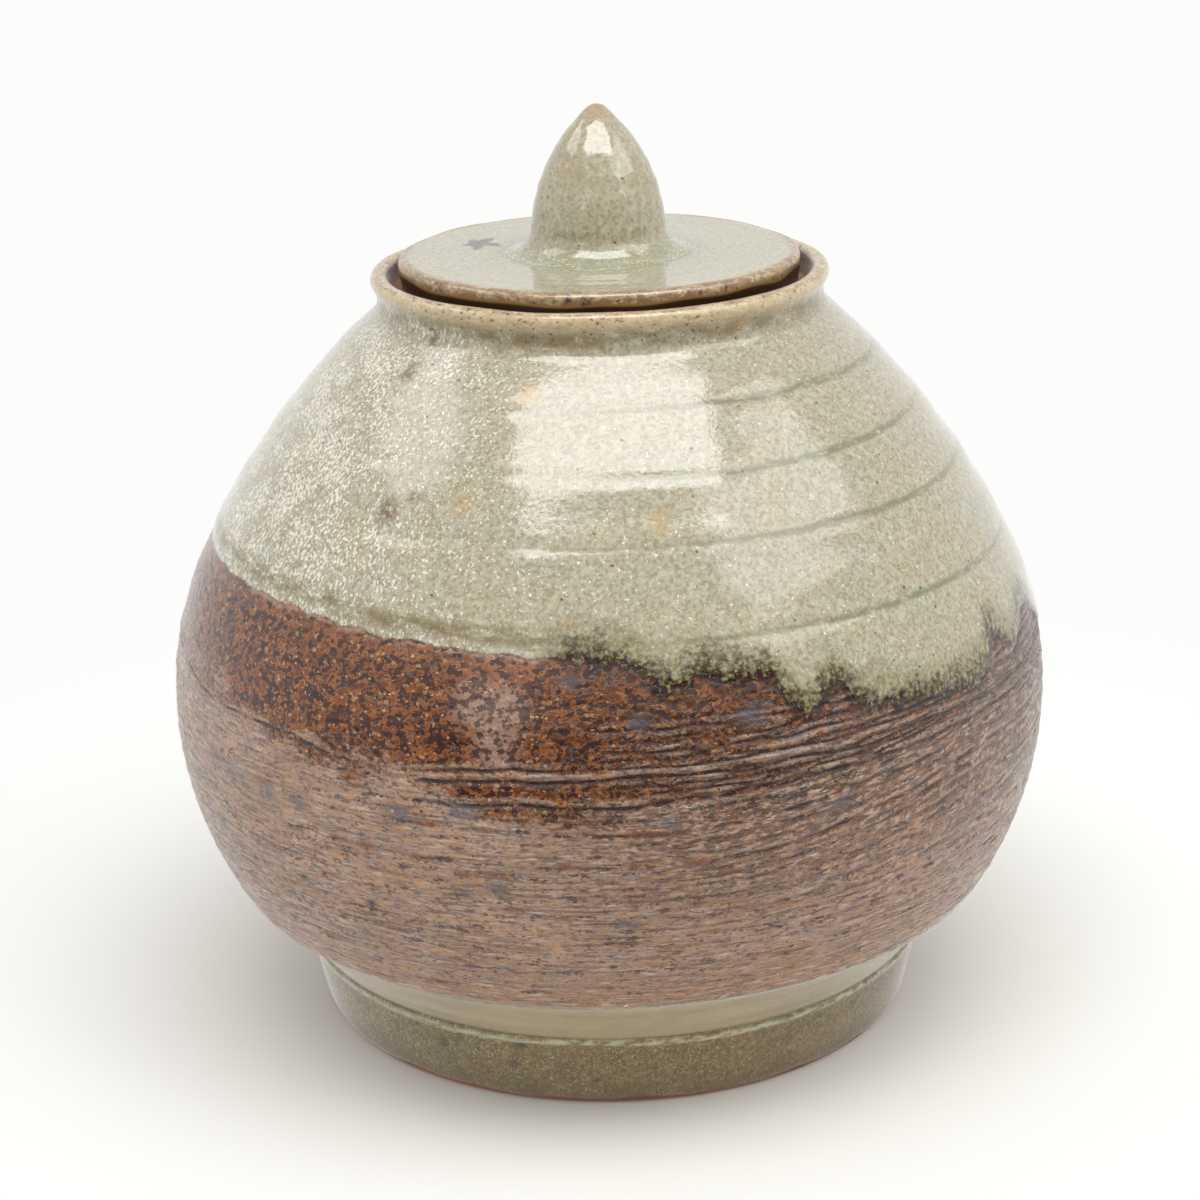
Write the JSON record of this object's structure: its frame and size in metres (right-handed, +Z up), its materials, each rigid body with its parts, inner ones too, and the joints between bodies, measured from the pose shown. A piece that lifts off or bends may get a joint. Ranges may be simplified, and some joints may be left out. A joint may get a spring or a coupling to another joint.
{
  "type": "lidded stoneware pot",
  "caption": "Round-bellied glazed stoneware bean pot on a foot ring, with a loose drop-in lid that rests in a gallery and has a pointed bud knob.",
  "frame": {"origin": "middle of the foot ring's bearing face, on the table", "axes": "+Z up along the axis that every piece was thrown about; +X to the right and -Y to the front"},
  "size_m": [0.18, 0.18, 0.1869],
  "materials": {
    "ash_and_iron_glaze": "glossy grey-green ash glaze with pale crystals above, satin rust-brown iron glaze over combed clay below",
    "foot_glaze": "olive-grey glaze with cream flecks, bare red-brown clay on the bearing face",
    "lid_glaze": "glossy pale grey-green glaze, worn tan at the edge",
    "lid_clay": "bare toasted stoneware with fine throwing lines",
    "knob_glaze": "glossy grey-beige glaze with dark iron specks"
  },
  "bodies": {
    "pot": {"pot_wall": "ash_and_iron_glaze", "foot_ring": "foot_glaze"},
    "lid": {"lid_plate": "lid_glaze", "lid_flange": "lid_clay", "lid_knob": "knob_glaze"}
  },
  "joints": [
    {"name": "lid_lift", "type": "slide", "parent": "pot", "child": "lid", "axis": [0, 0, 1], "range_m": [0, 0.12]}
  ]
}
